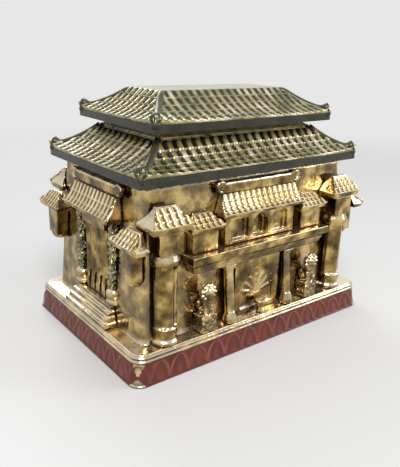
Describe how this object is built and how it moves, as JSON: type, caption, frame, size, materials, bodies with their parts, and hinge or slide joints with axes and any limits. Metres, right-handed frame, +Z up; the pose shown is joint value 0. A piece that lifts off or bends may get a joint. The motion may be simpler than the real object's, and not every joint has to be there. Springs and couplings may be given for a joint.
{
  "type": "funerary urn",
  "caption": "Palace-shaped glazed ceramic urn with relief gates, towers and lions, and a lift-off double-eave roof lid.",
  "frame": {"origin": "middle of the foot rim, on the surface the urn stands on", "axes": "+X along the long face, -Y out of the front long face, +Z up"},
  "size_m": [0.34, 0.234, 0.2699],
  "materials": {
    "gold_glaze": "gold lustre glaze over relief",
    "tile_glaze": "dark green glaze with gold crests",
    "olive_glaze": "olive gold lustre glaze",
    "red_glaze": "dark red-brown glaze"
  },
  "bodies": {
    "urn": {"back_balcony": "gold_glaze", "back_bowl": "gold_glaze", "back_column_left": "gold_glaze", "back_column_right": "gold_glaze", "back_gate_ridge": "gold_glaze", "back_gate_roof": "tile_glaze", "back_gate_storey": "gold_glaze", "back_lion_left": "gold_glaze", "back_lion_right": "gold_glaze", "back_niche_panel": "gold_glaze", "back_pavilion_left": "gold_glaze", "back_pavilion_right": "gold_glaze", "back_tower_roof_left": "tile_glaze", "back_tower_roof_right": "tile_glaze", "back_tower_shaft_left": "gold_glaze", "back_tower_shaft_right": "gold_glaze", "front_balcony": "gold_glaze", "front_bowl": "gold_glaze", "front_column_left": "gold_glaze", "front_column_right": "gold_glaze", "front_gate_ridge": "gold_glaze", "front_gate_roof": "tile_glaze", "front_gate_storey": "gold_glaze", "front_lion_left": "gold_glaze", "front_lion_right": "gold_glaze", "front_niche_panel": "gold_glaze", "front_pavilion_left": "gold_glaze", "front_pavilion_right": "gold_glaze", "front_tower_roof_left": "tile_glaze", "front_tower_roof_right": "tile_glaze", "front_tower_shaft_left": "gold_glaze", "front_tower_shaft_right": "gold_glaze", "left_door_panel": "gold_glaze", "left_gate_ridge": "gold_glaze", "left_gate_roof": "tile_glaze", "left_relief_column_far": "olive_glaze", "left_relief_column_near": "olive_glaze", "left_stairs": "gold_glaze", "left_turret_far": "gold_glaze", "left_turret_near": "gold_glaze", "right_door_panel": "gold_glaze", "right_gate_ridge": "gold_glaze", "right_gate_roof": "tile_glaze", "right_relief_column_far": "olive_glaze", "right_relief_column_near": "olive_glaze", "right_stairs": "gold_glaze", "right_turret_far": "gold_glaze", "right_turret_near": "gold_glaze", "urn_body": "red_glaze"},
    "lid": {"lower_roof": "tile_glaze", "roof_neck": "olive_glaze", "upper_roof": "tile_glaze"}
  },
  "joints": [
    {"name": "lid_lift", "type": "slide", "parent": "urn", "child": "lid", "axis": [0, 0, 1], "range_m": [0, 0.12]}
  ]
}
